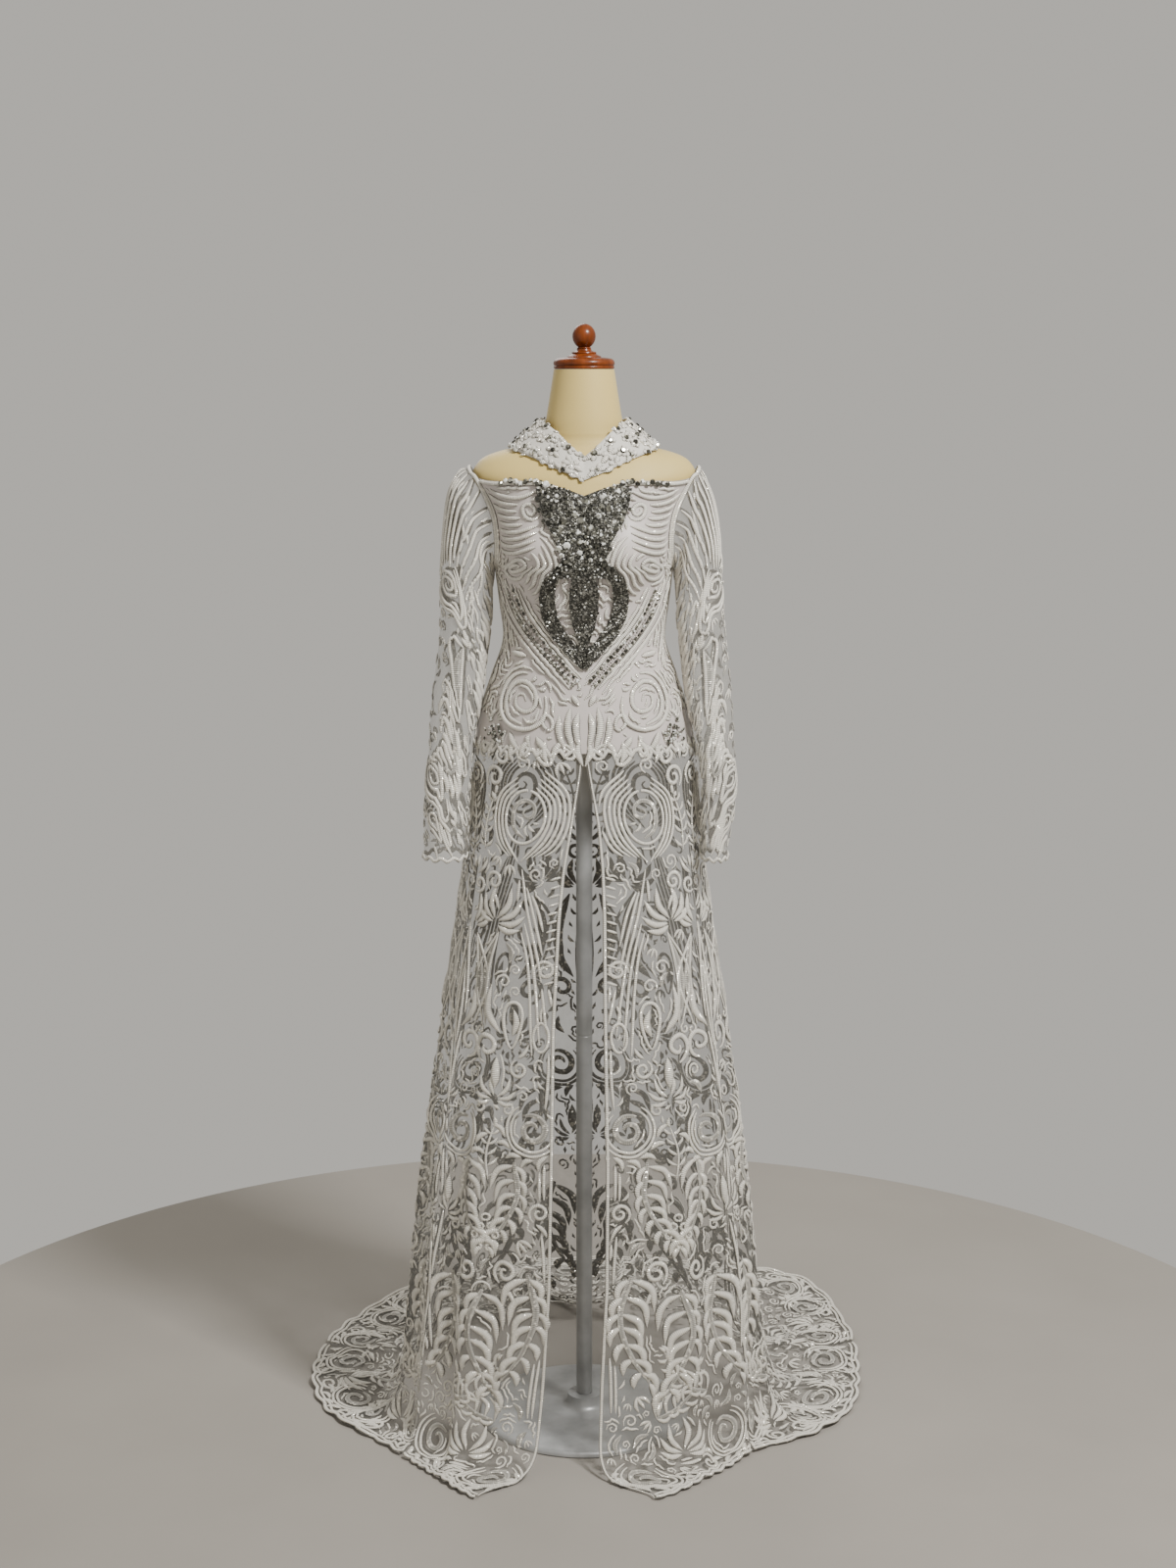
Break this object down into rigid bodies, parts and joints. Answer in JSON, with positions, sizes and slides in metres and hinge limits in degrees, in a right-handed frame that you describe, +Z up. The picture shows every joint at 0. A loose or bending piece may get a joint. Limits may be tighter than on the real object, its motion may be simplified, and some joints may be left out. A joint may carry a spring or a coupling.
{
  "type": "kebaya blouse on a dress form",
  "caption": "Floor-length ivory lace kebaya with off-shoulder lined bodice, sheer sleeves, split overskirt and train, lace collar, on a limbless dress form with a round base.",
  "frame": {"origin": "centre of the round base's underside, on the floor", "axes": "+Z up, -Y towards the front of the gown, +X towards the right of the picture"},
  "size_m": [0.9096, 0.9499, 1.7],
  "materials": {
    "ivory_lace": "ivory corded lace on a pale satin lining",
    "sheer_lace": "sheer ivory tulle with corded lace",
    "silver_stone": "foil-backed silver-grey glass stones and beads",
    "form_cover": "cream stretch cover, matt",
    "varnished_wood": "red-brown wood under gloss varnish",
    "grey_steel": "plain dark grey, satin"
  },
  "bodies": {
    "root": {"bodice_back_left": "ivory_lace", "bodice_back_right": "ivory_lace", "bodice_front_left": "ivory_lace", "bodice_front_right": "ivory_lace", "bust_scroll_left": "ivory_lace", "bust_scroll_right": "ivory_lace", "collar": "ivory_lace", "finial_knob": "varnished_wood", "form_body": "form_cover", "hip_scroll_back_left": "ivory_lace", "hip_scroll_back_right": "ivory_lace", "hip_scroll_left": "ivory_lace", "hip_scroll_right": "ivory_lace", "neck_cap": "varnished_wood", "plastron": "silver_stone", "skirt_back_left": "sheer_lace", "skirt_back_right": "sheer_lace", "skirt_front_left": "sheer_lace", "skirt_front_right": "sheer_lace", "skirt_side_left": "sheer_lace", "skirt_side_right": "sheer_lace", "sleeve_left": "sheer_lace", "sleeve_right": "sheer_lace", "stand_base": "grey_steel", "stand_pole": "grey_steel", "stone_band_left": "silver_stone", "stone_band_right": "silver_stone"}
  },
  "joints": []
}
